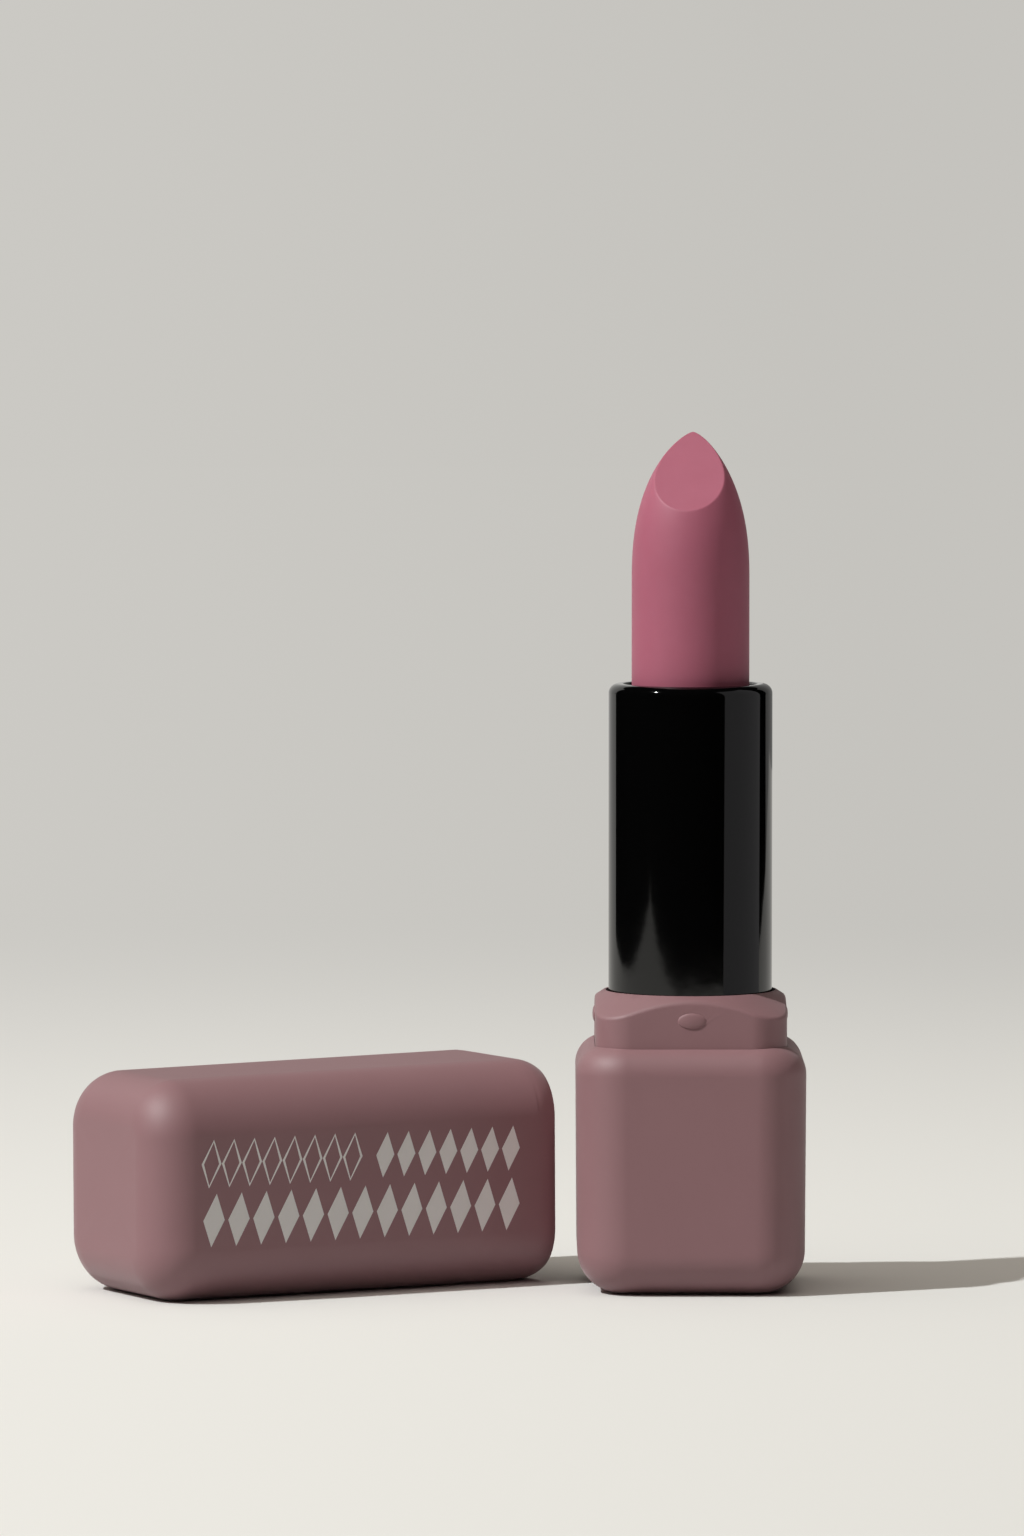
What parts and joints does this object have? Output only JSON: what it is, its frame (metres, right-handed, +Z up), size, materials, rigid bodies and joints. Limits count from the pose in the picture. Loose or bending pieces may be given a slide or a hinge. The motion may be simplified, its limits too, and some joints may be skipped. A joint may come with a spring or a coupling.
{
  "type": "lipstick case",
  "caption": "Square weighted lipstick case with a twist-up mechanism, a round inner tube, a raised slant-cut lipstick and a loose square snap cap lying beside it.",
  "frame": {"origin": "centre of the base's flat foot, on the table", "axes": "+Z up along the case's twist axis, +X and +Y square to the base's flat faces; the cap lies at -X, the slanted cut of the lipstick faces -Y"},
  "size_m": [0.0759, 0.0403, 0.0887],
  "materials": {
    "soft_touch": "dusty mauve soft-touch lacquer",
    "gloss_black": "high-gloss black",
    "black_plastic": "satin black moulding",
    "natural_plastic": "natural acetal",
    "silicone": "translucent silicone",
    "steel": "tumbled zinc-plated steel",
    "foam": "closed-cell foam",
    "label_paper": "blank satin sticker",
    "lipstick": "matte rose wax",
    "print_ink": "matte white pad-printed ink"
  },
  "bodies": {
    "base": {"base_shell": "soft_touch", "bottom_label": "label_paper", "base_weight": "steel", "base_weight_pad": "foam", "inner_base": "black_plastic", "collar": "soft_touch", "slotted_barrel": "black_plastic", "brake_ring_lower": "silicone", "brake_ring_upper": "silicone"},
    "tube": {"outer_tube": "gloss_black", "spiral_sleeve": "natural_plastic"},
    "carrier": {"carrier_cup": "black_plastic", "bullet": "lipstick"},
    "cap": {"cap_shell": "soft_touch", "cap_liner": "black_plastic", "cap_weight": "steel", "cap_weight_pad": "foam"}
  },
  "joints": [
    {"name": "tube_twist", "type": "hinge", "parent": "base", "child": "tube", "pos_m": [0, 0, 0], "axis": [0, 0, 1], "range_deg": [0, 630]},
    {"name": "lipstick_slide", "type": "slide", "parent": "base", "child": "carrier", "axis": [0, 0, 1], "range_m": [-0.027, 0]},
    {"name": "cap_lift", "type": "slide", "parent": "base", "child": "cap", "axis": [0, 0, 1], "range_m": [0, 0.1]}
  ],
  "couplings": [
    {"joint": "lipstick_slide", "follows": "tube_twist", "m_per_rad": -0.0024555}
  ]
}
